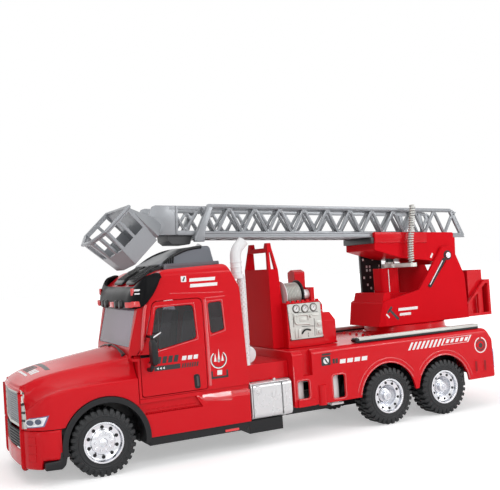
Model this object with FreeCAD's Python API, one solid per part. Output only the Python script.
"""Toy ladder fire engine with a long bonnet, three axles and a slewing, extending ladder.

Millimetres.  +Z is up, the truck faces -Y and +X is its left-hand side.
The pieces are placed with Y = 0 at the front axle and Z = 0 on the floor, and the
whole truck is shifted at the end so that the origin lies under the middle of its box.
"""
import FreeCAD
import Part
import math
import os

Vec = FreeCAD.Vector

# ------------------------------------------------------------------ driving sizes
wall = 2.0                    # moulded shells
play = 0.3                    # gap between a moving piece and the seat it rests near
shaft_play = 0.05             # radial clearance of a pin or rod in its hole
body_half = 61.0              # half width of cab, fenders and rear body

# wheels and axles
tyre_r = 27.0
tyre_w = 21.0
rim_r = 16.3
tyre_inset = 0.6              # tyre's outer face inside the body side
axle_r = 2.0
wheelbase = 277.0             # front axle to first rear axle
bogie_pitch = 67.0            # first to second rear axle
arch_gap = 4.5                # tyre to arch lip
arch_trim_w = 4.5             # radial width of the dark arch trim

# front end
front_overhang = 63.0         # front axle to bumper face
bumper_z0 = 12.0
bumper_z1 = 42.0
seam_y = 31.0                 # hood meets the cab
hood_z0 = 43.0
fender_z = 73.0               # crease along the top of the fenders

# cab
cab_y1 = 130.0                # cab rear wall
cab_z0 = 57.0                 # cab floor underside
roof_z = 163.0
windscreen_foot = (28.0, 97.0)     # Y, Z
windscreen_head = (35.5, 131.0)    # Y, Z
screen_half = 49.0
pillar_y = 91.0               # door's rear edge
door_y0 = 34.0
door_z0 = 58.5
door_z1 = 135.0              # door top, just under the sun visor
door_gap = 0.6
glass_t = 1.2
skirt_z0 = 25.0
sill_z = 90.0                 # below it the cab is as wide as the fenders
step_z0 = 44.0                # step let into the skirt under the door
step_z1 = 53.5
step_depth = 2.5
seat_x = 29.0                 # seats and steering wheel, from the middle
seat_y0 = 60.0
seat_top_z = 85.0

# rear body
body_gap = 44.0               # cab rear wall to rear body front wall
deck_z = 80.0
body_z0 = 30.0
rear_overhang = 65.0          # second rear axle to tail
deck_r = 5.0                  # rounding of the deck's long edges

platform_z = 72.0             # top of the low deck behind the cab

bay_drawn = 71.5              # front wall to first rear arch, at which the side openings were drawn

# chassis
spine_half = 24.0
spine_z0 = 17.0
spine_z1 = 37.0
tray_wall = 3.0
rib_t = 3.0
boss_wall = 4.0               # plastic round the turret's spindle

# tower and pump house
tower_half = 26.0
tower_depth = 15.0
tower_shoulder_z = 155.0
tower_z1 = 180.0
house_half = 36.0
house_len = 39.0
house_z1 = 122.5

# turret
slew_back = 1.0               # slewing axis behind the second rear axle
turret_half = 30.0
turret_wall = 3.0
turret_z0 = 89.5
turret_front = 51.0           # slewing axis to turret front
turret_floor_z = 99.0
turntable_r = 25.0
spindle_r = 6.0
boom_pin_back = 40.0          # slewing axis to boom pin
boom_pin_z = 157.0
boom_pin_r = 2.4
rack_end = 95.0               # slewing axis to the rack's rear face
rack_bar = 2.6                # thickness of the rack's side frames
rack_z1 = 128.0
rack_case_z1 = 139.0

# ladder, given along (s) and square to (h) the boom, from the boom pin
boom_rest_deg = 2.44
cradle_gap = 0.8              # cradle to turret cheek, each side
cover_w = 3.2                 # cradle's side covers
outer_rail_w = 3.2
ladder_side_gap = 2.0         # upper ladder to lower ladder, each side
ladder_h0 = 19.5
ladder_h1 = 50.0
outer_back = 42.0             # lower ladder's front end behind the upper ladder's
bar = 3.4                     # width of ladder bars
bays = 12
inner_rail_w = 2.8
bucket_pin_y = 70.5
bucket_pin_z = 199.5
tip_y = 60.0                  # inner ladder's front end, over the cab roof
tongue_r = 5.0

# bucket
bucket_rest_deg = 44.0        # bucket's nose-down angle over the parked cab
bucket_half = 36.0
bucket_front_half = 12.0
bucket_side = 30.0            # straight part of each side
bucket_len = 42.0
bucket_depth = 39.0
bucket_pin_t = 10.0           # pin behind the bucket's rear wall
bucket_pin_d = 34.5           # pin below the rim
bucket_wall = 1.8
bucket_arm_w = 2.0
bucket_pin_r = 1.6

# roof, exhausts, mirrors
fairing_half = 36.0
fairing_y0 = 64.0
fairing_y1 = 115.0
fairing_z1 = 181.0
visor_t = 3.0
stack_x = 50.0
stack_r = 3.5                 # perforated lower pipe
flue_r = 4.9                  # bent upper pipe
mirror_reach = 13.0
outside = 80.0                # cutters end here, well outside the truck's sides

# ------------------------------------------------------------------ derived places
axle_y = [0.0, wheelbase, wheelbase + bogie_pitch]
wheel_x = body_half - tyre_inset - tyre_w / 2
arch_r = tyre_r + arch_gap
trim_r = arch_r + arch_trim_w
arch_y = 3.0                  # the front arch's centre lies a little behind the axle
body_y0 = cab_y1 + body_gap
tail_y = axle_y[2] + rear_overhang
slew_y = axle_y[2] + slew_back
pin_y = slew_y + boom_pin_back
rack_y1 = slew_y + rack_end
tower_y0 = body_y0
house_y0 = tower_y0 + 11.0
house_y1 = house_y0 + house_len
front_y = -front_overhang
middle_y = (front_y + rack_y1) / 2
cradle_half = turret_half - turret_wall - cradle_gap
outer_half = cradle_half - cover_w - 0.2
inner_half = outer_half - outer_rail_w - ladder_side_gap


# ------------------------------------------------------------------ shape helpers
def box(x0, x1, y0, y1, z0, z1):
    return Part.makeBox(x1 - x0, y1 - y0, z1 - z0, Vec(x0, y0, z0))


def rod_x(x0, x1, y, z, r):
    return Part.makeCylinder(r, x1 - x0, Vec(x0, y, z), Vec(1, 0, 0))


def rod_y(y0, y1, x, z, r):
    return Part.makeCylinder(r, y1 - y0, Vec(x, y0, z), Vec(0, 1, 0))


def rod_z(z0, z1, x, y, r):
    return Part.makeCylinder(r, z1 - z0, Vec(x, y, z0), Vec(0, 0, 1))


def outline(corners, to_3d):
    """Closed wire through (a, b, corner radius) rows, with each radius as a true arc."""
    n = len(corners)
    pts = [Vec(c[0], c[1], 0) for c in corners]
    starts = []
    ends = []
    mids = []
    for i in range(n):
        here = pts[i]
        back = (pts[i - 1] - here)
        ahead = (pts[(i + 1) % n] - here)
        r = corners[i][2] if len(corners[i]) > 2 else 0.0
        if r <= 0:
            starts.append(here)
            ends.append(here)
            mids.append(None)
            continue
        back.normalize()
        ahead.normalize()
        half = back.getAngle(ahead) / 2
        reach = r / math.tan(half)
        bisector = back + ahead
        bisector.normalize()
        starts.append(here + back * reach)
        ends.append(here + ahead * reach)
        mids.append(here + bisector * (r / math.sin(half) - r))
    edges = []
    for i in range(n):
        if mids[i] is not None:
            edges.append(Part.Arc(to_3d(starts[i]), to_3d(mids[i]), to_3d(ends[i])).toShape())
        a = to_3d(ends[i])
        b = to_3d(starts[(i + 1) % n])
        if a.distanceToPoint(b) > 1e-6:
            edges.append(Part.makeLine(a, b))
    return Part.Wire(Part.__sortEdges__(edges))


def prism_x(corners, x0, x1):
    """Side view (Y, Z, radius) pushed along X."""
    wire = outline(corners, lambda p: Vec(x0, p.x, p.y))
    return Part.Face(wire).extrude(Vec(x1 - x0, 0, 0))


def prism_y(corners, y0, y1):
    """Front view (X, Z, radius) pushed along Y."""
    wire = outline(corners, lambda p: Vec(p.x, y0, p.y))
    return Part.Face(wire).extrude(Vec(0, y1 - y0, 0))


def prism_z(corners, z0, z1):
    """Plan view (X, Y, radius) pushed along Z."""
    wire = outline(corners, lambda p: Vec(p.x, p.y, z0))
    return Part.Face(wire).extrude(Vec(0, 0, z1 - z0))


def rounded(x0, x1, y0, y1, z0, z1, r, axis="x"):
    """Box whose four edges along one axis are rounded."""
    if axis == "x":
        return prism_x([(y0, z0, r), (y1, z0, r), (y1, z1, r), (y0, z1, r)], x0, x1)
    if axis == "y":
        return prism_y([(x0, z0, r), (x1, z0, r), (x1, z1, r), (x0, z1, r)], y0, y1)
    return prism_z([(x0, y0, r), (x1, y0, r), (x1, y1, r), (x0, y1, r)], z0, z1)


def mirrored(shape):
    return shape.mirror(Vec(0, 0, 0), Vec(1, 0, 0))


def pair(shape):
    return [shape, mirrored(shape)]


def joined(shapes):
    whole = shapes[0].multiFuse(shapes[1:]) if len(shapes) > 1 else shapes[0]
    return whole.removeSplitter()


def less(shape, tools):
    return shape.cut(tools) if tools else shape


def tilted(shape, y, z, degrees):
    """Turn about a cross axis through (y, z); positive lifts the rear."""
    turned = shape.copy()
    turned.rotate(Vec(0, y, z), Vec(1, 0, 0), degrees)
    return turned


def half_plan(rows):
    """Symmetric outline from the rows of its +X half; a row on the centre line isn't doubled."""
    return rows + [(-a, b, r) for a, b, r in reversed(rows) if a > 0]


def strip(a0, b0, a1, b1, half, r=0.0):
    """Outline rows of a straight strip between two places, half wide on each side."""
    run = Vec(a1 - a0, b1 - b0, 0)
    run.normalize()
    da = -run.y * half
    db = run.x * half
    return [(a0 + da, b0 + db, r), (a0 - da, b0 - db, r), (a1 - da, b1 - db, r), (a1 + da, b1 + db, r)]


nodes = {}


def add(name, *shapes):
    solids = []
    for shape in shapes:
        solids += shape.Solids
    nodes[name] = Part.Compound(solids) if len(solids) > 1 else solids[0]


def grown(rows, d):
    """Same outline rows moved in by d on their (a, b) box; used for the inside of shells."""
    a_mid = (min(r[0] for r in rows) + max(r[0] for r in rows)) / 2
    b_mid = (min(r[1] for r in rows) + max(r[1] for r in rows)) / 2
    out = []
    for a, b, r in rows:
        out.append((a + (d if a < a_mid else -d), b + (d if b < b_mid else -d), max(r - d, 0)))
    return out


# ------------------------------------------------------------------ wheels
def tyre():
    """Tyre with rounded shoulders, turned about the axle."""
    half = tyre_w / 2
    rows = [(-half, rim_r, 0), (half, rim_r, 0), (half, tyre_r - 4.0, 0),
            (half - 3.0, tyre_r, 1.5), (-half + 3.0, tyre_r, 1.5), (-half, tyre_r - 4.0, 0)]
    wire = outline(rows, lambda p: Vec(p.x, 0, p.y))
    return Part.Face(wire).revolve(Vec(0, 0, 0), Vec(1, 0, 0), 360)


def rim(side):
    """Dished wheel: barrel, web and hub boss, open on its outer face; side is +1 or -1."""
    half = tyre_w / 2
    dish = 5.0
    rows = [(-half + 2.0, axle_r, 0), (half - 1.0, axle_r, 0), (half - 1.0, 5.0, 1.5),
            (half - dish, 6.5, 0), (half - dish, rim_r - 3.2, 1.0), (half, rim_r - 2.0, 0),
            (half, rim_r, 0), (-half, rim_r, 0), (-half, rim_r - 2.0, 0),
            (half - dish - 3.0, rim_r - 4.0, 1.0), (half - dish - 3.0, 5.0, 0), (-half + 2.0, 5.0, 0)]
    wire = outline(rows, lambda p: Vec(p.x * side, 0, p.y))
    return Part.Face(wire).revolve(Vec(0, 0, 0), Vec(1, 0, 0), 360)


axle_names = ["front", "mid", "rear"]
for name, y in zip(axle_names, axle_y):
    rims = []
    for label, side in (("left", 1), ("right", -1)):
        place = Vec(side * wheel_x, y, tyre_r)
        tyre_solid = tyre()
        tyre_solid.translate(place)
        add(name + "_tyre_" + label, tyre_solid)
        rim_solid = rim(side)
        rim_solid.translate(place)
        rims.append(rim_solid)
    add(name + "_rims", *rims)
    reach = wheel_x + tyre_w / 2 - 1.0
    add(name + "_axle", rod_x(-reach, reach, y, tyre_r, axle_r))

# ------------------------------------------------------------------ chassis
tray_y0 = front_y + 10.0
tray_y1 = tail_y - 8.0
tray = box(-spine_half, spine_half, tray_y0, tray_y1, spine_z0, spine_z1)
tray_room = box(-spine_half + tray_wall, spine_half - tray_wall, tray_y0 + tray_wall, tray_y1 - tray_wall,
                spine_z0 + tray_wall, spine_z1 + 1)
bearing_blocks = [box(-spine_half, spine_half, y - 6.0, y + 6.0, spine_z0, spine_z1) for y in axle_y]
# ribs that carry the cab, the rear platform and the deck: Y and top
rib_rows = [(seam_y + 8.0, cab_z0), (cab_y1 - 14.0, cab_z0), (body_y0 - 16.0, platform_z - wall),
            (body_y0 + 8.0, deck_z - wall), (axle_y[1] - 34.0, deck_z - wall), (tail_y - 20.0, deck_z - wall)]
ribs = [box(-spine_half, spine_half, y, y + rib_t, spine_z0, z) for y, z in rib_rows]
spindle_boss = rod_z(spine_z0, deck_z - wall, 0, slew_y, spindle_r + boss_wall)
bores = [rod_x(-body_half, body_half, y, tyre_r, axle_r + shaft_play) for y in axle_y]
bores.append(rod_z(deck_z - 14.0, deck_z, 0, slew_y, spindle_r + shaft_play))
foot_block = box(spine_half - 1.0, body_half - 5.0, cab_y1, cab_y1 + 33.0, 13.0, 24.0)
chassis = joined([less(tray, [tray_room])] + bearing_blocks + ribs + [spindle_boss] + pair(foot_block))
add("chassis", less(chassis, bores))

# ------------------------------------------------------------------ front end
nose_plan = half_plan([(0, front_y, 0), (40.0, front_y + 3.0, 8), (body_half, front_y + 18.0, 12),
                       (body_half, seam_y, 0)])
nose_plan_in = half_plan([(0, front_y + 5.0, 0), (38.0, front_y + 8.0, 6),
                          (body_half - wall - 1.0, front_y + 21.0, 8), (body_half - wall - 1.0, seam_y + 1, 0)])

# hood sections: Y, crown height, crease half width, crease height, fender height
hood_rows = [(front_y, 76.5, 37.0, 73.5, 58.0),
             (front_y + 20.0, 85.0, 40.0, 81.0, 68.0),
             (front_y + 47.0, 91.0, 43.0, 87.0, 72.0),
             (seam_y, 98.5, 50.0, 91.0, fender_z)]


def hood_section(y, crown, crease_x, crease_z, side_z, inset):
    """Front-view outline at y: flat sides, a rounded fender top, and a crowned hood."""
    rows = half_plan([(0, crown - inset, 0), (crease_x - inset, crease_z - inset, 3),
                      (crease_x + 4.0 - inset, side_z + 1.0 - inset, 2),
                      (body_half + 2.0 - inset, side_z - 1.5 - inset, 4), (body_half + 2.0 - inset, hood_z0, 0)])
    return outline(rows, lambda p: Vec(p.x, y, p.y))


def hood_block(inset, y_shift):
    wires = [hood_section(y + y_shift, a, b, c, d, inset) for y, a, b, c, d in hood_rows]
    return Part.makeLoft(wires, True, True)


hood_outer = hood_block(0.0, 0.0).common(prism_z(nose_plan, hood_z0, 120))
hood_inner = hood_block(wall, 0.001).common(prism_z(nose_plan_in, hood_z0 - 1, 120))
wheel_well = rod_x(wheel_x - tyre_w / 2 - 3, outside, arch_y, tyre_r, trim_r + play)
grille_half = 40.0
grille_z0 = 44.0
grille_z1 = 72.0
grille_bay = box(-grille_half, grille_half, front_y - 5, front_y + 12, hood_z0 - 1, grille_z1)
hood = less(hood_outer, [hood_inner, wheel_well, mirrored(wheel_well), grille_bay])
lamp_z0 = 45.5
lamp_z1 = 55.0
lamp_rows = [(front_y + 3.0, lamp_z0, 1), (front_y + 18.0, lamp_z0 + 0.6, 1), (front_y + 22.5, lamp_z1, 1),
             (front_y + 8.0, lamp_z1 - 1.0, 1)]
lamp_cut = prism_x(lamp_rows, grille_half + 3.0, outside)
hood = less(hood, [lamp_cut, mirrored(lamp_cut)])
add("hood", hood)

lamp_body = prism_x(grown(lamp_rows, play), grille_half + 3.0 + play, outside)
lamp_skin = prism_z(half_plan([(0, front_y + 0.6, 0), (40.0, front_y + 3.6, 8),
                               (body_half - 0.6, front_y + 18.6, 12), (body_half - 0.6, seam_y, 0)]), 0, 120)
lamp_core = prism_z(nose_plan_in, 0, 120)
lamp = lamp_body.common(lamp_skin).cut(lamp_core)
add("headlights", *pair(lamp))

grille_plate = prism_z(half_plan([(0, front_y + 0.8, 0), (grille_half - play, front_y + 3.6, 0),
                                  (grille_half - play, front_y + 7.0, 0), (0, front_y + 5.0, 0)]),
                       grille_z0, grille_z1 - play)
add("grille", grille_plate)

bumper_block = prism_z(nose_plan, bumper_z0, bumper_z1).cut(prism_z(nose_plan_in, bumper_z0 - 1, bumper_z1 + 1))
bumper_end = -arch_y - 30.0
bumper_block = bumper_block.cut(box(-outside, outside, bumper_end, outside, 0, 60))
bumper_slot = box(-grille_half + 4, grille_half - 4, front_y - 2, front_y + 1.6, 26.0, bumper_z1 - 1)
bumper_web = box(-body_half + 4, body_half - 4, front_y + 4.5, tray_y0 - play, spine_z0, spine_z0 + 12)
wheel_room = rod_x(-outside, outside, arch_y, tyre_r, trim_r + play)
add("bumper", less(joined([bumper_block, bumper_web]), [bumper_slot, wheel_room]))

# ------------------------------------------------------------------ arch trims
arch_ring = rod_x(wheel_x - 2.0, body_half + 1.5, arch_y, tyre_r, trim_r)
arch_ring = arch_ring.cut(rod_x(wheel_x - 3.0, body_half + 3, arch_y, tyre_r, arch_r))
arch_ring = arch_ring.common(box(0, 80, -60, 80, skirt_z0 - 4, 80))
add("arch_trims", *pair(arch_ring))

# ------------------------------------------------------------------ cab shell
screen_y, screen_z = windscreen_foot
cab_side = [(seam_y + play, cab_z0, 0), (cab_y1, cab_z0, 0), (cab_y1 - 3.0, roof_z - 21.0, 3),
            (cab_y1 - 13.0, roof_z, 4), (seam_y + 27.0, roof_z - 2.0, 20),
            (windscreen_head[0] + 4.0, roof_z - 16.0, 4),
            (screen_y, screen_z, 0), (screen_y - 1.0, sill_z - 2.0, 0), (seam_y + play, sill_z - 2.0, 0)]
cab_front = half_plan([(0, roof_z + 2.0, 0), (body_half - 3.0, roof_z, 9), (body_half - 1.0, door_z1, 20),
                       (body_half, 95.0, 0), (body_half, cab_z0, 0)])
pillar_front = (screen_half + 1.0, screen_y - 1.0)
pillar_back = (body_half, 46.0)


def cab_block(d):
    """Cab solid, with every face moved in by d: side view crossed with front view, less the pillar corners."""
    side = prism_x(grown(cab_side, d), -outside, outside)
    front = prism_y(grown(cab_front, d), 0, 160)
    block = side.common(front)
    run = Vec(pillar_back[0] - pillar_front[0], pillar_back[1] - pillar_front[1], 0)
    run.normalize()
    near = Vec(pillar_front[0], pillar_front[1], 0) + Vec(-run.y, run.x, 0) * d
    far = near + run * 60
    near = near - run * 30
    corner = prism_z([(near.x, near.y, 0), (far.x, far.y, 0), (far.x + 60, near.y, 0)], sill_z + d, 200)
    return less(block, [corner, mirrored(corner)])


cab_outer = cab_block(0.0)
cab_inner = cab_block(wall)
door_rows = [(door_y0, door_z0, 2), (pillar_y, door_z0, 2), (pillar_y, door_z1, 5), (door_y0 + 13.5, door_z1, 5),
             (door_y0 + 6.5, door_z1 - 31.0, 0), (door_y0, door_z1 - 43.0, 4)]
door_mid_y = (door_y0 + pillar_y) / 2
door_hole = [(a + (door_gap if a > door_mid_y else -door_gap), b + (door_gap if b > door_z0 else -door_gap), r)
             for a, b, r in door_rows]
side_x0 = body_half - 9.0     # cutters for one side start here, inside the cab's wall
door_cut = prism_x(door_hole, side_x0, outside)
screen_x = screen_half - 1.0
screen_cut = prism_y([(-screen_x, screen_z + 1.5, 3), (screen_x, screen_z + 1.5, 3),
                      (screen_x - 1, windscreen_head[1] + 10, 3), (-screen_x + 1, windscreen_head[1] + 10, 3)],
                     0, 46)
sleeper_rows = [(pillar_y + 5.2, door_z1 - 4.6, 2.5), (pillar_y + 18.0, door_z1 - 3.9, 2.5),
                (pillar_y + 19.1, door_z1 - 28.3, 2.5), (pillar_y + 6.2, door_z1 - 31.3, 2.5)]
sleeper_cut = prism_x(sleeper_rows, side_x0, outside)
cab = less(cab_outer, [cab_inner, door_cut, mirrored(door_cut), sleeper_cut, mirrored(sleeper_cut), screen_cut])
add("cab_shell", less(cab, [wheel_well, mirrored(wheel_well)]))
hood_seat = cab_outer.copy()
hood_seat.translate(Vec(0, -play, 0))
add("hood", less(nodes["hood"], [hood_seat]))

# ------------------------------------------------------------------ glass and doors
glass_in = wall / 2 - glass_t / 2
glass_skin = cab_block(glass_in).cut(cab_block(glass_in + glass_t))
screen_pane = glass_skin.common(prism_y([(-screen_x + play, screen_z + 1.8, 3), (screen_x - play, screen_z + 1.8, 3),
                                         (screen_x - 1 - play, windscreen_head[1] + 9.7, 3),
                                         (-screen_x + 1 + play, windscreen_head[1] + 9.7, 3)], 0, 45))
add("windscreen", screen_pane)
sleeper_pane = glass_skin.common(prism_x(grown(sleeper_rows, play), side_x0, outside))
add("sleeper_windows", *pair(sleeper_pane))

window_rows = [(door_y0 + 15.8, door_z1 - 5.0, 4), (pillar_y - 8.2, door_z1 - 4.7, 4),
               (pillar_y - 6.8, door_z1 - 33.4, 4), (door_y0 + 15.2, door_z1 - 40.0, 4),
               (door_y0 + 11.0, door_z1 - 27.0, 3)]
door_skin = cab_outer.cut(cab_inner).common(prism_x(door_rows, side_x0, outside))
door = door_skin.cut(prism_x(window_rows, side_x0, outside))
door_pane = glass_skin.common(prism_x(grown(window_rows, play), side_x0, outside))
for label, flip in (("left", False), ("right", True)):
    turn = mirrored if flip else (lambda shape: shape)
    add("door_" + label, turn(door))
    add("door_glass_" + label, turn(door_pane))

# ------------------------------------------------------------------ cab interior
cab_floor_z = cab_z0 + wall
dash = prism_x([(seam_y + 4, cab_floor_z, 0), (44.0, cab_floor_z, 0), (47.0, 88.0, 3), (42.0, 94.0, 3),
                (seam_y + 4, 94.0, 0)], -50.0, 50.0)
add("dashboard", dash)
seats = []
for x in (-seat_x, seat_x):
    base = box(x - 14, x + 14, seat_y0 + 6, seat_y0 + 28, cab_floor_z, seat_top_z - 7)
    cushion = rounded(x - 15, x + 15, seat_y0, seat_y0 + 30, seat_top_z - 7, seat_top_z, 3)
    back = prism_x([(seat_y0 + 24, seat_top_z, 2), (seat_y0 + 32, seat_top_z, 2),
                    (seat_y0 + 37, seat_top_z + 38, 3), (seat_y0 + 31, seat_top_z + 38, 3)], x - 14, x + 14)
    seats.append(joined([base, cushion, back]))
add("seats", *seats)
wheel_ring = Part.makeTorus(9.0, 1.1, Vec(0, 0, 0), Vec(0, 0, 1))
wheel_bar = box(-9, 9, -1.2, 1.2, -0.8, 0.8)
column = Part.makeCylinder(1.6, 16.0, Vec(0, 0, -16.0), Vec(0, 0, 1))
steering = joined([wheel_ring, wheel_bar, column])
steering.rotate(Vec(0, 0, 0), Vec(1, 0, 0), -55)
steering.translate(Vec(seat_x, seat_y0 - 4.0, 97.0))
add("steering_wheel", less(steering, [dash]))

# ------------------------------------------------------------------ side skirts under the cab
skirt_side = [(arch_y + 20, skirt_z0, 0), (cab_y1, skirt_z0, 0), (cab_y1, cab_z0 - play, 0),
              (seam_y + play, cab_z0 - play, 0), (seam_y + play, hood_z0 - play, 0),
              (arch_y + 20, hood_z0 - play, 0)]
skirt = prism_x(skirt_side, body_half - 10.0, body_half)
step_y1 = pillar_y - 5.0
tread_cut = prism_x([(arch_y + 20, step_z0, 0), (step_y1, step_z0, 0), (step_y1 - 6.0, step_z1, 0),
                     (arch_y + 20, step_z1, 0)], body_half - step_depth, outside)
chamfer = prism_y([(body_half - 1.8, cab_z0, 0), (body_half + 1, cab_z0, 0), (body_half + 1, step_z0 + 4.0, 0),
                   (body_half, step_z0 + 4.0, 0), (body_half - 1.8, step_z1, 0)], step_y1, cab_y1 + 1)
skirt = less(skirt, [tread_cut, chamfer, wheel_well])
add("side_skirts", *pair(skirt))
sill = prism_x([(arch_y + 33, skirt_z0 - 7, 0), (cab_y1 - 4, skirt_z0 - 7, 0), (cab_y1 + 1, skirt_z0, 0),
                (arch_y + 33, skirt_z0, 0)], spine_half, body_half - 2.0)
sill = less(sill, [wheel_well])
add("chassis", less(joined([nodes["chassis"]] + pair(sill)), bores[:3]))

# ------------------------------------------------------------------ roof furniture
visor_skin = cab_block(-visor_t).cut(cab_block(-play))
visor_y0 = windscreen_head[0] - 15.5
visor_z0 = windscreen_head[1] - 2.0
visor_z1 = roof_z - 14.5
visor_front = visor_skin.common(prism_x([(visor_y0, visor_z0, 0), (visor_y0 + 17.0, visor_z0 + 1.0, 4),
                                         (visor_y0 + 25.5, visor_z0 + 7.0, 3), (visor_y0 + 32.0, visor_z1, 0),
                                         (visor_y0, visor_z1, 0)], -outside, outside))
visor_cheek = visor_skin.common(prism_x([(visor_y0 + 18.0, visor_z1 - 8.5, 0), (visor_y0 + 27.5, visor_z1 - 8.5, 0),
                                         (visor_y0 + 34.5, visor_z1 + 7.5, 2), (visor_y0 + 28.0, visor_z1 + 8.0, 2),
                                         (visor_y0 + 18.0, visor_z1 - 0.5, 0)], screen_half + 3.0, outside))
add("sun_visor", joined([visor_front, visor_cheek, mirrored(visor_cheek)]))
fairing_side = [(fairing_y0, roof_z + play, 0), (fairing_y1, roof_z + play, 0), (fairing_y1 - 1.0, fairing_z1, 3),
                (fairing_y1 - 17.0, fairing_z1 - 1.0, 20), (fairing_y0 + 16.0, fairing_z1 - 7.0, 20),
                (fairing_y0, roof_z + 3.0, 2)]
fairing_front = half_plan([(0, fairing_z1 + 0.4, 0), (fairing_half - 7.0, fairing_z1 - 1.0, 5),
                           (fairing_half, roof_z, 0)])
fairing = prism_x(fairing_side, -outside, outside).common(prism_y(fairing_front, 0, cab_y1))
fairing_hollow = prism_x(grown(fairing_side, wall), -outside, outside).common(
    prism_y(half_plan([(0, fairing_z1 - wall, 0), (fairing_half - 8.5, fairing_z1 - 1.4 - wall, 5),
                       (fairing_half - wall, roof_z - 3, 0)]), 0, cab_y1))
fairing_hollow.translate(Vec(0, 0, -wall - 0.5))
fairing_seat = rounded(-fairing_half - 4, fairing_half + 4, fairing_y0 + 2.0, fairing_y1 + 4.0, roof_z + play,
                       roof_z + 3.0, 4, "z")
roof_shape = cab_outer.copy()
roof_shape.translate(Vec(0, 0, play))
roof_cap = joined([less(fairing, [fairing_hollow]), less(fairing_seat, [fairing_hollow])])
add("roof_fairing", less(roof_cap, [roof_shape]))
vent_y0 = fairing_y0 - 21.0
vent_y1 = fairing_y0 - 2.0
horn = prism_x([(vent_y0, roof_z - 15.0, 0), (vent_y1, roof_z - 8.0, 0), (vent_y1, roof_z + 3.5, 1),
                (vent_y0, roof_z - 5.0, 1)], 16.0, 34.0)
add("roof_vents", *pair(less(horn, [roof_shape])))

# ------------------------------------------------------------------ mirrors, exhausts, tanks
mirror_y = door_y0 + 7.2
mirror_x0 = body_half + 5.0
mirror_x1 = mirror_x0 + mirror_reach - 2.0
mirror_head = rounded(mirror_x0, mirror_x1, mirror_y - 2.5, mirror_y + 2.5, 84.0, 106.0, 2.2, "y")
mirror_stem_x = mirror_x0 + 3.0
mirror_arm = joined([rod_x(body_half - 7.0, mirror_stem_x, mirror_y, 107.0, 1.1),
                     rod_z(103.0, 108.6, mirror_stem_x, mirror_y, 1.4),
                     rod_x(body_half - 1.0, mirror_x0 + 1.0, mirror_y, 86.0, 1.1)])
mirror = joined([mirror_head, less(mirror_arm, [cab_outer])])
for label, flip in (("left", False), ("right", True)):
    add("mirror_" + label, mirrored(mirror) if flip else mirror)

platform_half = body_half - 9.0
platform = prism_x([(cab_y1 + 1.5, cab_z0, 0), (body_y0 - play, cab_z0, 0), (body_y0 - play, platform_z, 1),
                    (cab_y1 + 1.5, platform_z, 1)], -platform_half, platform_half)
platform_room = box(-platform_half + wall, platform_half - wall, cab_y1, body_y0 - wall, cab_z0 - 1,
                    platform_z - wall)
add("rear_platform", less(platform, [platform_room]))

stack_y = cab_y1 + stack_r + play
flue_z0 = 150.0
flue_y = cab_y1 - 0.2
flue_path = [(flue_y, flue_z0), (flue_y, 173.5), (flue_y + 8.5, 182.0)]


def bent_tube(path, r, x, label):
    """Round tube through (Y, Z) places, each bend a true arc as large as its runs allow."""
    rows = [Vec(x, y, z) for y, z in path]
    edges = []
    at = rows[0]
    for before, corner, after in zip(rows, rows[1:], rows[2:]):
        back = before - corner
        ahead = after - corner
        run = 0.45 * min(back.Length, ahead.Length)
        back.normalize()
        ahead.normalize()
        half = back.getAngle(ahead) / 2
        start = corner + back * run
        end = corner + ahead * run
        bisector = back + ahead
        bisector.normalize()
        radius = run * math.tan(half)
        middle = corner + bisector * (radius / math.sin(half) - radius)
        edges.append(Part.makeLine(at, start))
        edges.append(Part.Arc(start, middle, end).toShape())
        at = end
        print(label, "bend radius", round(radius, 1), "in diameters", round(radius / (2 * r), 1))
    edges.append(Part.makeLine(at, rows[-1]))
    spine_wire = Part.Wire(edges)
    ring = Part.Wire(Part.makeCircle(r, rows[0], rows[1] - rows[0]))
    print(label, "length", round(spine_wire.Length, 1), "section", round(math.pi * r * r, 2))
    return spine_wire.makePipeShell([ring], True, False)


flue = bent_tube(flue_path, flue_r, stack_x, "exhaust")
stack = rod_z(platform_z, flue_z0 + 1.0, stack_x, stack_y, stack_r)
collar = rod_z(flue_z0 - 1.0, flue_z0 + 2.5, stack_x, flue_y + 0.6, flue_r + 1.2)
add("exhausts", *pair(joined([stack, flue, collar])))

air_tank_y = cab_y1 + 10.0
air_tank = rod_x(20.0, 42.0, air_tank_y, platform_z + 8.0, 7.6)
air_tank_foot = box(24.0, 38.0, air_tank_y - 4.0, air_tank_y + 4.0, platform_z, platform_z + 5.0)
add("air_tank", less(joined([air_tank, air_tank_foot]), [stack]))

tank_y0 = cab_y1 + 2.0
tank_y1 = cab_y1 + 42.0
tank = rounded(spine_half + 12.0, body_half - 1.0, tank_y0, tank_y1, skirt_z0, cab_z0 - play, 5.0, "y")
strap = rounded(spine_half + 11.6, body_half - 0.6, tank_y1 - 9.0, tank_y1 - 6.5, skirt_z0 - 0.4, cab_z0 - play,
                5.0, "y")
hanger = box(spine_half, spine_half + 14.0, tank_y0 + 6, tank_y1 - 6, 28.0, 36.0)
add("fuel_tanks", *pair(joined([tank, strap, hanger])))

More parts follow.
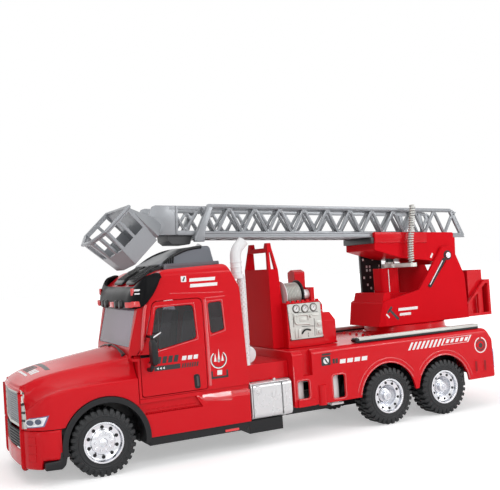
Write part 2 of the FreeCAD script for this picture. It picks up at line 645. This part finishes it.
# ------------------------------------------------------------------ rear body
body_side = [(body_y0, body_z0, 1), (tail_y, body_z0, 2), (tail_y - 1.0, deck_z - 12.0, 6),
             (tail_y - 9.0, deck_z, 4), (body_y0, deck_z, 1)]
body_front = [(-body_half, body_z0, 0), (body_half, body_z0, 0), (body_half, deck_z, deck_r),
              (-body_half, deck_z, deck_r)]
rear_block = prism_x(body_side, -outside, outside).common(prism_y(body_front, 100, 500))
rear_core = prism_x([(body_y0 + wall, body_z0 - 5, 0), (tail_y - wall, body_z0 - 5, 0),
                     (tail_y - wall - 1, deck_z - 12 - wall, 4), (tail_y - 9.0 - wall, deck_z - wall, 2),
                     (body_y0 + wall, deck_z - wall, 0)], -body_half + wall, body_half - wall)
arch_cuts = []
for y in axle_y[1:]:
    for side in (1, -1):
        x0, x1 = sorted((side * (wheel_x - tyre_w / 2 - 2.0), side * outside))
        arch_cuts.append(rod_x(x0, x1, y, tyre_r, arch_r))
        arch_cuts.append(box(x0, x1, y - arch_r, y + arch_r, 0, body_z0 + 1))
# places in the bay between the front wall and the first rear arch stretch with the bay
bay_fit = (axle_y[1] - arch_r - body_y0) / bay_drawn


def bay_y(along):
    return body_y0 + along * bay_fit


# side openings: front edge and rear edge from the body's front wall, bottom and top height
opening_rows = [(4.0, 16.0, 37.0, 53.0), (41.0, 54.0, 33.0, 54.0)]
side_cuts = []
for a, b, z0, z1 in opening_rows:
    side_cuts.append(prism_x([(bay_y(a), z0, 2 * bay_fit), (bay_y(b), z0, 2 * bay_fit), (bay_y(b), z1, 3 * bay_fit),
                              (bay_y(a), z1, 3 * bay_fit)], body_half - 6, outside))
notch_x = body_half - 5.0
notch_z0 = 57.0
notch_y0 = bay_y(10.0)
notch_y1 = bay_y(20.0)
notch_top = deck_z - wall
notch = box(notch_x, outside, notch_y0, notch_y1, notch_z0, deck_z + 10.0)
notch_wall = box(notch_x - wall, notch_x, notch_y0 - wall, notch_y1 + wall, notch_z0, notch_top)
notch_ends = [box(notch_x - 1.0, body_half - 0.5, notch_y0 - wall, notch_y0, notch_z0, notch_top),
              box(notch_x - 1.0, body_half - 0.5, notch_y1, notch_y1 + wall, notch_z0, notch_top),
              box(notch_x - 1.0, body_half - 0.5, notch_y0 - wall, notch_y1 + wall, notch_z0 - wall, notch_z0)]
shell = less(rear_block, [rear_core] + arch_cuts + side_cuts + [mirrored(c) for c in side_cuts])
shell = less(shell, [notch, mirrored(notch)])
liners = [notch_wall] + notch_ends
shell = joined([shell] + liners + [mirrored(p) for p in liners])
ledge = box(body_half - 1.0, body_half + 1.6, bay_y(3.0), bay_y(21.0), body_z0, body_z0 + 6.0)
post = rod_z(body_z0 - 1.0, body_z0 + 17.0, body_half - 0.5, bay_y(29.0), 4.0 * bay_fit)
post = less(post, [box(0, body_half - wall / 2, 0, 500, 0, 100)])
trim = [ledge, post]
shell = joined([shell] + trim + [mirrored(p) for p in trim])
spine_slot = box(-spine_half - play, spine_half + play, body_y0 - 1, body_y0 + wall + 1, 0, spine_z1 + play)
shell = less(shell, [rod_z(deck_z - 20, deck_z + 5, 0, slew_y, spindle_r + shaft_play), spine_slot])
add("rear_body", shell)

# white bottles seen through the side openings, one pair of rows per opening
bottles = []
for a, b, z0, z1 in opening_rows:
    bottle = rod_z(z0 - 5.0, z1 + 3.0, body_half - 12.0, bay_y((a + b) / 2), 5.6 * bay_fit)
    shelf = box(spine_half - 2.0, notch_x, bay_y(a), bay_y(b), z0 - 7.0, z0 - 5.0)
    bottles.append(joined([bottle, shelf]))
add("side_bottles", *[less(p, [nodes["chassis"], shell]) for b in bottles for p in pair(b)])

rail_x = body_half - 6.0
rail_y0 = body_y0 + 73.0
rail_y1 = tail_y - 15.0
rail_z0 = deck_z + 3.4
rail_z1 = deck_z + 7.6
rail_bays = 10
rung_pitch = (rail_y1 - rail_y0 - 2.0) / rail_bays
rail_block = box(rail_x - 4.5, rail_x + 3.5, rail_y0, rail_y1, rail_z0, rail_z1)
rail_gaps = [box(rail_x - 2.5, rail_x + 1.5, rail_y0 + 2.0 + k * rung_pitch, rail_y0 + (k + 1) * rung_pitch,
                 rail_z0 - 1, rail_z1 + 1) for k in range(rail_bays)]
rail_feet = [box(rail_x - 4.0, rail_x + 3.0, rail_y0 + y, rail_y0 + y + 1.6, deck_z + play, rail_z0 + 1.0)
             for y in (0.2, rail_y1 - rail_y0 - 1.8)]
add("deck_ladders", *pair(joined([less(rail_block, rail_gaps)] + rail_feet)))
tail_lamp = prism_y([(body_half - 9.0, 38.0, 1.5), (body_half - 2.0, 38.0, 1.5), (body_half - 2.0, 58.0, 1.5),
                          (body_half - 9.0, 58.0, 1.5)], tail_y + 0.1, tail_y + 2.2)
add("tail_lamps", *pair(tail_lamp))

# ------------------------------------------------------------------ tower and pump house
tower_side = [(tower_y0, deck_z + play, 0), (tower_y0 + tower_depth + 1.0, deck_z + play, 0),
              (tower_y0 + tower_depth - 5.0, tower_shoulder_z, 0), (tower_y0 + tower_depth - 8.0, tower_z1 - 4, 0),
              (tower_y0 + tower_depth - 8.0, tower_z1, 0), (tower_y0 + 3.0, tower_z1, 0),
              (tower_y0, tower_shoulder_z, 0)]
tower_front = half_plan([(0, tower_z1 - 5.0, 0), (14.0, tower_z1 - 5.0, 0), (15.0, tower_z1, 1), (20.0, tower_z1, 1),
                         (tower_half, tower_shoulder_z, 0), (tower_half, deck_z, 0)])
tower = prism_x(tower_side, -40, 40).common(prism_y(tower_front, 100, 300))
tower_gap = prism_y([(-11.0, tower_shoulder_z + 0.5, 1), (11.0, tower_shoulder_z + 0.5, 1), (6.0, tower_z1 - 9.0, 1),
                     (-6.0, tower_z1 - 9.0, 1)], 100, 300)
tower_hollow = box(-tower_half + wall, tower_half - wall, tower_y0 + wall, tower_y0 + tower_depth - 5.0 - wall,
                   deck_z - 1, tower_shoulder_z - wall)
add("tower", less(tower, [tower_gap, tower_hollow]))

house = prism_x([(house_y0, deck_z + play, 0), (house_y1, deck_z + play, 0), (house_y1, house_z1 - 4.0, 3),
                 (house_y1 - 3.0, house_z1, 2), (house_y0, house_z1, 0)], -house_half, house_half)
house_hollow = box(-house_half + wall, house_half - wall, house_y0 + 7.0, house_y1 - wall, deck_z - 1,
                   house_z1 - 12.0)
reel_x = 18.0
reel_z = house_z1 + 6.0
reel_r = 12.0
reel_y0 = house_y0 + 4.5
reel_y1 = reel_y0 + 17.0
reel_bay = rod_y(reel_y0 - 1.0, reel_y1 + 4.0, reel_x, reel_z, reel_r + 3.0)
panel_rows = [(house_y0 + 2.6, deck_z + 7.3, 1.5), (house_y1 - 1.6, deck_z + 7.3, 1.5),
              (house_y1 - 2.6, house_z1 - 1.2, 1.5), (house_y0 + 0.4, house_z1 - 1.2, 1.5)]
panel_bay = prism_x(panel_rows, house_half - 1.2, house_half + 5)
house = less(house, [house_hollow, nodes["tower"], reel_bay, panel_bay, mirrored(panel_bay)])
panel = prism_x(grown(panel_rows, play), house_half - 1.2, house_half + 0.8)
add("pump_panels", *pair(panel))
drum = rod_y(reel_y0, reel_y1, reel_x, reel_z, reel_r)
flange_r = reel_r + 2.4
flanges = [rod_y(reel_y1, reel_y1 + 2.0, reel_x, reel_z, flange_r),
           rod_y(reel_y0 - 0.7, reel_y0, reel_x, reel_z, flange_r)]
hub_r = 4.6
hub = rod_y(reel_y1, reel_y1 + 16.0, reel_x, reel_z, hub_r)
add("hose_reel", less(joined([drum] + flanges + [hub]), [nodes["tower"]]))
reel_locker = prism_y([(-7.0, house_z1 - 1.0, 0), (7.0, house_z1 - 1.0, 0), (7.0, house_z1 + 27.5, 1.5),
                       (0.0, house_z1 + 30.0, 1), (-7.0, house_z1 + 27.5, 1.5)], house_y1 - 12.0, house_y1 - 0.5)
reel_stand = box(reel_x - 7.0, reel_x + 7.0, reel_y1 + 12.0, reel_y1 + 16.0, house_z1 - 3.0, reel_z + 6.5)
hub_bore = rod_y(reel_y1, reel_y1 + 16.0, reel_x, reel_z, hub_r)
locker_y1 = house_y1 + 14.5
locker_z1 = 110.0
locker_eave_z = 102.5
locker_half = house_half - 2.0
rear_locker = prism_x([(house_y1 - 0.5, deck_z + play, 0), (locker_y1, deck_z + play, 0),
                       (locker_y1, locker_eave_z, 0), (locker_y1 - 3.0, locker_z1, 0),
                       (house_y1 - 0.5, locker_z1, 0)], -locker_half, locker_half)
locker_front = half_plan([(0, locker_z1, 0), (house_half - 7.0, locker_z1, 0), (locker_half, locker_eave_z, 0),
                          (locker_half, deck_z, 0)])
rear_locker = rear_locker.common(prism_y(locker_front, house_y1 - 2.0, locker_y1 + 1.0))
locker_room = box(-locker_half + wall, locker_half - wall, house_y1 - 3.0, locker_y1 - wall, deck_z - 5.0,
                  locker_eave_z - wall)
rear_locker = less(rear_locker, [locker_room])
house = joined([house, less(joined([reel_locker, reel_stand]), [reel_bay, hub_bore]), rear_locker])
add("pump_house", house)

# ------------------------------------------------------------------ turret
turret_y0 = slew_y - turret_front
cheek_rows = [(turret_y0, turret_z0, 0), (turret_y0 + 5.0, 113.0, 2), (turret_y0 + 9.0, 114.7, 1),
              (slew_y, 123.5, 0), (pin_y - 10.5, boom_pin_z + 3.5, 0), (pin_y - 6.5, boom_pin_z + 9.5, 3),
              (pin_y + 6.5, boom_pin_z + 9.5, 5), (pin_y + 11.0, boom_pin_z, 4), (pin_y + 21.0, 135.0, 0),
              (pin_y + 23.0, turret_z0, 0)]
turret_corner = 4.0           # chamfer of the turret's two front corners
turret_plan = half_plan([(0, turret_y0 - 1.0, 0), (turret_half - turret_corner, turret_y0 - 1.0, 0),
                         (turret_half, turret_y0 + 7.0, 0), (turret_half, pin_y + 30.0, 0)])
turret_block = prism_x(cheek_rows, -turret_half, turret_half).common(prism_z(turret_plan, turret_z0 - 1, 200))
hump = prism_x([(turret_y0 + 6.0, 112.0, 0), (turret_y0 + 9.5, 123.0, 1), (turret_y0 + 17.0, 123.0, 1),
                (turret_y0 + 17.0, 112.0, 0)], -turret_half + turret_corner, turret_half - turret_corner)
turret_room = box(-turret_half + turret_wall, turret_half - turret_wall, turret_y0 + 17.0, pin_y + 40.0,
                  turret_floor_z, 200)
turret_under = box(-turret_half + turret_wall, turret_half - turret_wall, turret_y0 + 8.0, pin_y + 20.0,
                   turret_z0 - 1, turret_floor_z - turret_wall)
slot = prism_x(strip(pin_y - 3.0, boom_pin_z - 5.0, pin_y - 28.0, boom_pin_z - 32.0, 1.6, 1.2),
               turret_half - 1.2, turret_half + 3)
turntable = rod_z(deck_z + play, turret_floor_z - 1.0, 0, slew_y, turntable_r)
spindle = rod_z(deck_z - 10.0, deck_z + 2.0, 0, slew_y, spindle_r)
turret = less(turret_block, [turret_room, turret_under])
turret = joined([turret, hump, turntable, spindle])
add("turret", less(turret, [slot, mirrored(slot)]))

rack_y0 = pin_y + 23.0
side_frame = prism_x([(rack_y0, turret_z0 + 0.5, 0), (rack_y1, turret_z0 + 0.5, 0), (rack_y1, rack_z1, 1),
                      (rack_y1 - 7.0, rack_z1, 1), (rack_y0, rack_z1 - 24.0, 0)],
                     turret_half - rack_bar, turret_half)
side_gap = prism_x([(rack_y0 + 3.0, turret_z0 + 3.5, 0), (rack_y1 - 3.0, turret_z0 + 3.5, 0),
                    (rack_y1 - 3.0, rack_z1 - 4.0, 0), (rack_y1 - 6.0, rack_z1 - 4.0, 0),
                    (rack_y0 + 3.0, rack_z1 - 24.0, 0)], turret_half - 4, turret_half + 2)
side_post = box(turret_half - rack_bar, turret_half, rack_y0 + 15.0, rack_y0 + 18.0, turret_z0 + 2, rack_z1 - 15.0)
side_frame = joined([less(side_frame, [side_gap]), side_post])
rack_floor = box(-turret_half, turret_half, rack_y0, rack_y1, turret_z0 + 0.5, turret_z0 + 3.0)
rack_back = box(-turret_half, turret_half, rack_y1 - 2.5, rack_y1, turret_z0 + 0.5, rack_z1)
case_half = turret_half - 5.0
rack_case = box(-case_half, case_half, rack_y0 + 6.0, rack_y0 + 26.0, turret_z0 + 2.0, rack_case_z1)
case_room = box(-case_half + wall, case_half - wall, rack_y0 + 8.0, rack_y0 + 24.0, turret_z0 + 6, rack_case_z1 + 1)
rack_case = less(rack_case, [case_room])
add("turret_rack", joined([side_frame, mirrored(side_frame), rack_floor, rack_back, rack_case]))

post_y0 = slew_y - 30.5
post_z1 = 147.5
post_body = rounded(-9.0, 9.0, post_y0, post_y0 + 23.0, turret_floor_z + 0.2, post_z1, 4.0, "z")
post_base = box(-13.0, 13.0, turret_y0 + 17.2, post_y0 + 28.0, turret_floor_z + 0.2, 121.0)
add("turret_post", less(joined([post_body, post_base]), [nodes["turret"]]))
ring_y = slew_y - 3.0
ring_z = post_z1 + 0.2
ring_plate = rod_z(ring_z, ring_z + 4.0, 0, ring_y, 16.5)
ring_hub = rod_z(ring_z + 4.0, ring_z + 6.0, 0, ring_y - 10.0, 5.0)
hose_x = turret_half + 3.5
hose_y = ring_y - 7.5
outlet = rounded(8.0, hose_x + 4.5, hose_y - 4.5, hose_y + 4.5, ring_z, ring_z + 4.0, 2.0, "z")
add("outlet_ring", joined([ring_plate, ring_hub, outlet]))
screen_panel = box(-turret_half, -turret_half + turret_wall - 0.2, slew_y - 31.5, slew_y - 4.0, 112.0, 165.0)
add("back_panel", less(screen_panel, [nodes["turret"]]))


# ------------------------------------------------------------------ boom and ladder
def boom(s, h):
    """Place on the boom before it is tilted: s forwards from the pin, h above it."""
    return (pin_y - s, boom_pin_z + h)


def boom_rows(rows):
    return [boom(s, h) + ((r,) if r else (0,)) for s, h, r in rows]


def raised(shape):
    return tilted(shape, pin_y, boom_pin_z, -boom_rest_deg)


def ladder_side(s0_low, s0_high, s1_high, s1_low, h0, h1, x0, x1, count, solid_front):
    """One side frame: slanted ends, top and bottom rails and a zigzag of bars."""
    frame = prism_x(boom_rows([(s0_low, h0, 0), (s0_high, h1, 0), (s1_high, h1, 1), (s1_low, h0, 1)]), x0, x1)
    inner_low = h0 + bar + 1.0
    inner_high = h1 - bar
    start = s0_low + bar + 8.0
    stop = s1_low - solid_front
    pitch = (stop - start) / count
    lean = bar * 0.62
    cuts = []
    for k in range(count):
        a = start + k * pitch
        b = a + pitch
        m = (a + b) / 2
        cuts.append(prism_x(boom_rows([(a + lean * 1.7, inner_low, 0), (b - lean * 1.7, inner_low, 0),
                                       (m, inner_high - lean * 1.6, 0)]), x0 - 1, x1 + 1))
        if k > 0:
            cuts.append(prism_x(boom_rows([(a - pitch / 2 + lean * 1.7, inner_high, 0),
                                           (a + pitch / 2 - lean * 1.7, inner_high, 0),
                                           (a, inner_low + lean * 1.6, 0)]), x0 - 1, x1 + 1))
    return less(frame, cuts)


outer_s0 = -31.0
outer_s1 = pin_y - (tip_y + outer_back)
outer_frame = ladder_side(outer_s0, outer_s0 + 19.0, outer_s1 - 14.0, outer_s1, ladder_h0, ladder_h1,
                          outer_half - outer_rail_w, outer_half, bays, 14.0)
foot = prism_x(boom_rows([(outer_s1 - 13.0, ladder_h0 + 2, 0), (outer_s1 - 1.0, ladder_h0 + 2, 0),
                          (outer_s1, ladder_h0 - 4.0, 1), (outer_s1 - 10.0, ladder_h0 - 4.0, 1)]),
               outer_half - outer_rail_w, outer_half)
outer_side = joined([outer_frame, foot])
outer_rungs = []
for k in range(2 * bays + 1):
    s = outer_s0 + 14.0 + k * (outer_s1 - outer_s0 - 24.0) / (2 * bays)
    outer_rungs.append(prism_x(boom_rows([(s, ladder_h0, 0), (s + bar, ladder_h0, 0), (s + bar, ladder_h0 + 2.0, 0),
                                          (s, ladder_h0 + 2.0, 0)]), -outer_half + 1, outer_half - 1))
add("ladder_lower", raised(joined([outer_side, mirrored(outer_side)] + outer_rungs)))

inner_h0 = ladder_h0 + 2.0 + play
inner_h1 = ladder_h1 - 1.5
inner_s0 = 16.0
box_h0 = 13.5                 # underside of the box below the upper ladder's front
inner_s1 = pin_y - tip_y
pin_place = Vec(0, bucket_pin_y, bucket_pin_z)
pin_at = tilted(Part.Vertex(pin_place), pin_y, boom_pin_z, boom_rest_deg).Point
inner_frame = ladder_side(inner_s0, inner_s0 + 10.0, inner_s1, inner_s1 - 8.5, inner_h0, inner_h1,
                          inner_half - inner_rail_w, inner_half, bays, 20.0)
tongue = rod_x(inner_half - inner_rail_w, inner_half, pin_at.y, pin_at.z, tongue_r)
inner_side = joined([inner_frame, tongue])
inner_side = less(inner_side, [rod_x(0, 80, pin_at.y, pin_at.z, bucket_pin_r + shaft_play)])
inner_rungs = []
for k in range(2 * bays + 1):
    s = inner_s0 + 6.0 + k * (inner_s1 - inner_s0 - 36.0) / (2 * bays)
    inner_rungs.append(prism_x(boom_rows([(s, inner_h0, 0), (s + bar, inner_h0, 0), (s + bar, inner_h0 + 2.4, 0),
                                          (s, inner_h0 + 2.4, 0)]), -inner_half + 1, inner_half - 1))
add("ladder_upper", raised(joined([inner_side, mirrored(inner_side)] + inner_rungs)))
front_box = prism_x(boom_rows([(outer_s1 - 1.0, inner_h0 - 0.2, 0), (inner_s1 - 19.0, inner_h0 - 0.2, 0),
                               (inner_s1 - 19.5, 17.0, 1), (inner_s1 - 24.0, box_h0, 2),
                               (outer_s1 + 1.0, box_h0, 2)]), -14.0, 14.0)
add("ladder_head_box", raised(front_box))

cradle_s1 = 89.5
cover_h1 = ladder_h0 + 5.0    # top of the covers outside the lower ladder
cradle_rows = [(-14.0, -6.0, 4), (-14.0, ladder_h0 - play, 0), (cradle_s1, ladder_h0 - play, 0), (cradle_s1, 6.2, 1),
               (56.0, -2.2, 0), (22.0, -5.0, 0), (4.0, -9.0, 5), (-8.0, -9.0, 4)]
cradle_room = prism_x(boom_rows([(-30.0, 4.5, 0), (-30.0, 40.0, 0), (cradle_s1 - wall, 40.0, 0),
                                 (cradle_s1 - wall, 8.5, 0), (56.0, 0.8, 0), (22.0, -1.5, 0), (10.0, 4.5, 0)]),
                      -cradle_half + wall, cradle_half - wall)
cradle = less(prism_x(boom_rows(cradle_rows), -cradle_half, cradle_half), [cradle_room])
riser_block = prism_x(boom_rows([(30.0, -2.0, 0), (30.0, ladder_h0 - 0.1, 0), (80.0, ladder_h0 - 0.1, 0),
                                 (80.0, 5.0, 0), (56.0, -1.0, 0)]), -3.0, 3.0)
side_cover = prism_x(boom_rows([(-12.0, 10.0, 2), (-12.0, cover_h1, 2), (cradle_s1, cover_h1, 1),
                                (cradle_s1, 10.0, 0)]), outer_half + 0.2, cradle_half)
cradle = joined([cradle, riser_block, side_cover, mirrored(side_cover)])
add("boom_cradle", raised(cradle))
pin_hole = rod_x(-outside, outside, pin_y, boom_pin_z, boom_pin_r + shaft_play)
pin_press = rod_x(-outside, outside, pin_y, boom_pin_z, boom_pin_r)
boom_pin = rod_x(-turret_half - 0.4, turret_half + 0.4, pin_y, boom_pin_z, boom_pin_r)
pin_heads = [rod_x(turret_half + 0.2, turret_half + 1.6, pin_y, boom_pin_z, 3.0),
             rod_x(-turret_half - 1.6, -turret_half - 0.2, pin_y, boom_pin_z, 3.0)]
nodes["turret"] = less(nodes["turret"], [pin_hole])
nodes["boom_cradle"] = less(nodes["boom_cradle"], [pin_press])
add("boom_pin", joined([boom_pin] + pin_heads))

# ------------------------------------------------------------------ bucket
def bucket_plan(half, front_half, side, length):
    """Bucket outline (X, forward distance) seen from above: straight rear, two sides and a narrowed front."""
    return half_plan([(0, -length, 0), (front_half, -length, 1), (half, -side, 1), (half, 0, 0)])


def bucket_section(d, inset):
    """Bucket outline at depth d below the rim, narrower towards the floor."""
    share = d / bucket_depth
    rows = bucket_plan(bucket_half - 4.0 * share, bucket_front_half - 1.0 * share, bucket_side - 1.0 * share,
                       bucket_len - 7.0 * share)
    return outline(grown([(a, b - 3.0 * share, r) for a, b, r in rows], inset), lambda p: Vec(p.x, p.y, -d))


cup = Part.makeLoft([bucket_section(bucket_depth, 0), bucket_section(0, 0)], True, True)
room = Part.makeLoft([bucket_section(bucket_depth - bucket_wall, bucket_wall), bucket_section(-0.01, bucket_wall)],
                     True, True)
cup = less(cup, [room])
cage_d0 = 3.4                 # openings of the cage, measured down from the rim
cage_d1 = 22.0
gaps = [box(-60, 60, -28.0, -16.5, -cage_d1, -cage_d0), box(-60, 60, -14.0, -4.0, -cage_d1, -cage_d0),
        box(-7.5, 7.5, -60, -36, -cage_d1, -cage_d0)]
corner_deg = math.degrees(math.atan2(bucket_len - bucket_side, bucket_half - bucket_front_half))
for side in (1, -1):
    for near, far in ((-10.5, -1.5), (1.5, 10.5)):
        slit = box(near, far, -9, 9, -cage_d1, -cage_d0)
        slit.rotate(Vec(0, 0, 0), Vec(0, 0, 1), side * corner_deg)
        slit.translate(Vec(side * (bucket_half + bucket_front_half) / 2, -(bucket_side + bucket_len) / 2, 0))
        gaps.append(slit)
cup = less(cup, gaps)
arm_x1 = inner_half + 1.0 + bucket_arm_w
arm_rows = [(-4.0, -bucket_depth, 0), (-4.0, -8.0, 0), (1.0, -6.0, 2), (bucket_pin_t + 5.0, -bucket_pin_d + 6.0, 4),
            (bucket_pin_t + 5.0, -bucket_pin_d - 4.0, 3), (1.0, -bucket_depth, 1)]
arm = less(prism_x(arm_rows, inner_half + 1.0, arm_x1), [room])
wing_plan = [(arm_x1 - 0.5, bucket_pin_t + 3.0, 0), (arm_x1, bucket_pin_t + 3.0, 0), (bucket_half - 1.0, -0.5, 0),
             (bucket_half - 3.5, -2.5, 0), (arm_x1 - 0.5, bucket_pin_t, 0)]
wing_side = [(-6.0, -bucket_depth + 2.0, 0), (-6.0, -3.0, 0), (0.0, -3.0, 0),
             (bucket_pin_t + 3.0, -bucket_pin_d + 8.0, 0), (bucket_pin_t + 3.0, -bucket_pin_d - 1.0, 0),
             (0.0, -bucket_depth + 2.0, 0)]
wing = prism_z(wing_plan, -60, 10).common(prism_x(wing_side, 0, 80))
wing = less(wing, [room])
cross = rod_x(-arm_x1 + 0.5, arm_x1 - 0.5, bucket_pin_t, -bucket_pin_d, bucket_pin_r)
bucket = joined([cup, arm, mirrored(arm), wing, mirrored(wing), cross])
bucket.translate(Vec(0, -bucket_pin_t, bucket_pin_d))
bucket.rotate(Vec(0, 0, 0), Vec(1, 0, 0), bucket_rest_deg)
bucket.translate(pin_place)
add("bucket", bucket)

# ------------------------------------------------------------------ curly hose
hose_r = 3.4
hose_z0 = ring_z + 4.0
hose_path = [(hose_y, hose_z0), (hose_y, hose_z0 + 19.0), (hose_y + 4.0, hose_z0 + 39.0),
             (hose_y + 6.5, hose_z0 + 59.0)]
add("curly_hose", bent_tube(hose_path, hose_r, hose_x, "curly hose"))

# ------------------------------------------------------------------ save
os.makedirs("parts", exist_ok=True)
for name, shape in nodes.items():
    shape = shape.copy()
    shape.translate(Vec(0, -middle_y, 0))
    shape.exportStep("parts/" + name + ".step")
    print(name, len(shape.Solids), "solids", shape.isValid(), round(shape.Volume / 1000, 2), "cm3")
